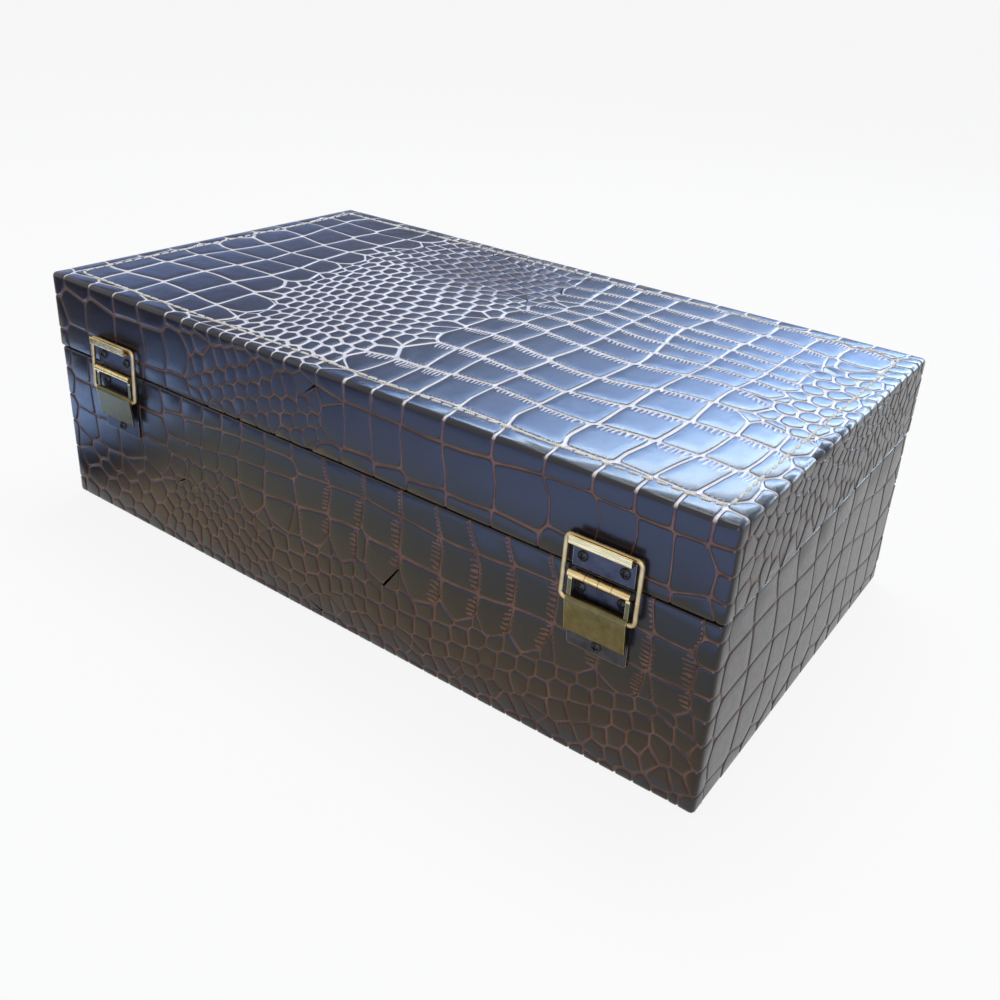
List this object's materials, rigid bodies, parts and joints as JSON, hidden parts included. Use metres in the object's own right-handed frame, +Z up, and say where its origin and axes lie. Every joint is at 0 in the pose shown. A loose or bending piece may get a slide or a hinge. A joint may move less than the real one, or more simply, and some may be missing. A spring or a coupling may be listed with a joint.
{
  "type": "stationery box",
  "caption": "Rectangular hinged box in crocodile-embossed leatherette over board, with a stitched lid, a suede lining and wire draw latches on its front.",
  "frame": {"origin": "centre of the flat underside that the box stands on", "axes": "+X to the right along the front, +Y from the latched front to the hinged back, +Z up"},
  "size_m": [0.35, 0.2031, 0.1161],
  "materials": {
    "leatherette": "crocodile-embossed, near-black brown scales with reddish-brown creases, satin gloss",
    "board": "plain fibreboard",
    "suede_lining": "short-napped suede cloth, matt",
    "thread": "waxed cream thread",
    "underside_sheet": "matt felt-backed sheet",
    "antique_brass": "antiqued, dark in the recesses and rubbed bright on the edges",
    "black_screw": "black-oxide, slightly worn"
  },
  "bodies": {
    "base": {"base_front_panel": "board", "base_back_panel": "board", "base_left_panel": "board", "base_right_panel": "board", "base_bottom_panel": "board", "base_front_lining": "suede_lining", "base_back_lining": "suede_lining", "base_left_lining": "suede_lining", "base_right_lining": "suede_lining", "base_floor_pad": "suede_lining", "base_skin": "leatherette", "base_underside_sheet": "underside_sheet", "hinge_left_base_leaf": "antique_brass", "hinge_left_pin": "antique_brass", "hinge_left_base_screws": "black_screw", "hinge_right_base_leaf": "antique_brass", "hinge_right_pin": "antique_brass", "hinge_right_base_screws": "black_screw", "latch_left_plate": "antique_brass", "latch_left_plate_screws": "black_screw", "latch_left_pin": "antique_brass", "latch_right_plate": "antique_brass", "latch_right_plate_screws": "black_screw", "latch_right_pin": "antique_brass"},
    "lid": {"lid_front_panel": "board", "lid_back_panel": "board", "lid_left_panel": "board", "lid_right_panel": "board", "lid_top_panel": "board", "lid_front_lining": "suede_lining", "lid_back_lining": "suede_lining", "lid_left_lining": "suede_lining", "lid_right_lining": "suede_lining", "lid_top_pad": "suede_lining", "lid_skin": "leatherette", "lid_stitching": "thread", "hinge_left_lid_leaf": "antique_brass", "hinge_left_lid_screws": "black_screw", "hinge_right_lid_leaf": "antique_brass", "hinge_right_lid_screws": "black_screw", "latch_left_strike": "antique_brass", "latch_left_strike_screws": "black_screw", "latch_right_strike": "antique_brass", "latch_right_strike_screws": "black_screw"},
    "left_lever": {"latch_left_lever": "antique_brass"},
    "left_bail": {"latch_left_bail": "antique_brass"},
    "right_lever": {"latch_right_lever": "antique_brass"},
    "right_bail": {"latch_right_bail": "antique_brass"}
  },
  "joints": [
    {"name": "lid_hinge", "type": "hinge", "parent": "base", "child": "lid", "pos_m": [0, 0.0994, 0.0793], "axis": [-1, 0, 0], "range_deg": [0, 100]},
    {"name": "left_lever_hinge", "type": "hinge", "parent": "base", "child": "left_lever", "pos_m": [-0.1305, -0.0994, 0.0778], "axis": [-1, 0, 0], "range_deg": [0, 80]},
    {"name": "left_bail_hinge", "type": "hinge", "parent": "left_lever", "child": "left_bail", "pos_m": [-0.1305, -0.0995, 0.0675], "axis": [-1, 0, 0], "range_deg": [-54.5, 0]},
    {"name": "right_lever_hinge", "type": "hinge", "parent": "base", "child": "right_lever", "pos_m": [0.1305, -0.0994, 0.0778], "axis": [-1, 0, 0], "range_deg": [0, 80]},
    {"name": "right_bail_hinge", "type": "hinge", "parent": "right_lever", "child": "right_bail", "pos_m": [0.1305, -0.0995, 0.0675], "axis": [-1, 0, 0], "range_deg": [-54.5, 0]}
  ],
  "couplings": [
    {"joint": "left_bail_hinge", "follows": "left_lever_hinge", "ratio": -0.68},
    {"joint": "right_bail_hinge", "follows": "right_lever_hinge", "ratio": -0.68}
  ]
}
